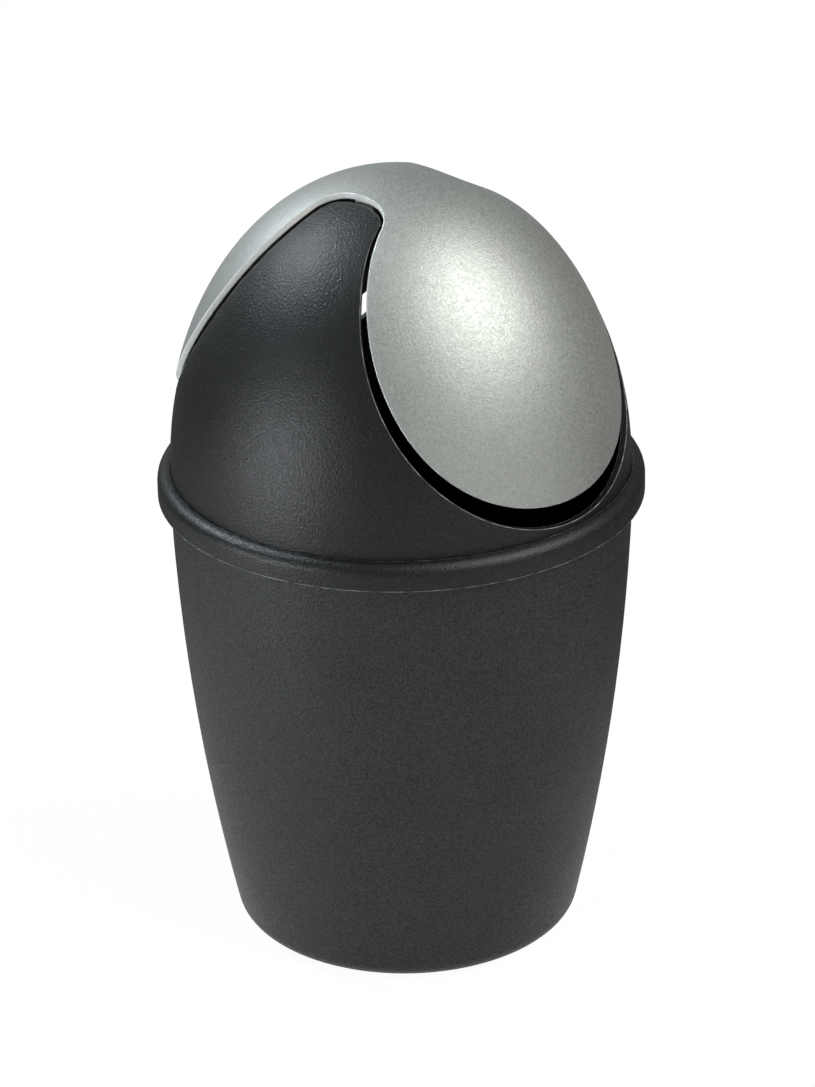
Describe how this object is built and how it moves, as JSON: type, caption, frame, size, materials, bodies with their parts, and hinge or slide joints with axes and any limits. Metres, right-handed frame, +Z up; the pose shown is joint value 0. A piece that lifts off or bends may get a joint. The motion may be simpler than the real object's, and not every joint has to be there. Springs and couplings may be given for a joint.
{
  "type": "countertop waste bin with swing lid",
  "caption": "Round tapered countertop bin with a lift-off domed hood; a saddle-shaped flap swings inwards in the hood and leaves an opening for waste.",
  "frame": {"origin": "centre of the bin's underside, on the surface it stands on", "axes": "+Z up, front towards -Y, the flap's pivot axis along X"},
  "size_m": [0.14, 0.14, 0.2304],
  "materials": {
    "charcoal_bucket": "fine matte grain, charcoal",
    "charcoal_hood": "fine matte grain, charcoal",
    "silver_flap": "satin metallic silver coat on plastic",
    "silver_pins": "satin silver-grey plastic"
  },
  "bodies": {
    "bucket": {"bin_body": "charcoal_bucket"},
    "hood": {"hood": "charcoal_hood"},
    "flap": {"swing_flap": "silver_flap", "pivot_pin_left": "silver_pins", "pivot_pin_right": "silver_pins"}
  },
  "joints": [
    {"name": "hood_lift", "type": "slide", "parent": "bucket", "child": "hood", "axis": [0, 0, 1], "range_m": [0, 0.1]},
    {"name": "flap_swing", "type": "hinge", "parent": "hood", "child": "flap", "pos_m": [0, 0, 0.2195], "axis": [1, 0, 0], "range_deg": [-51, 49]}
  ]
}
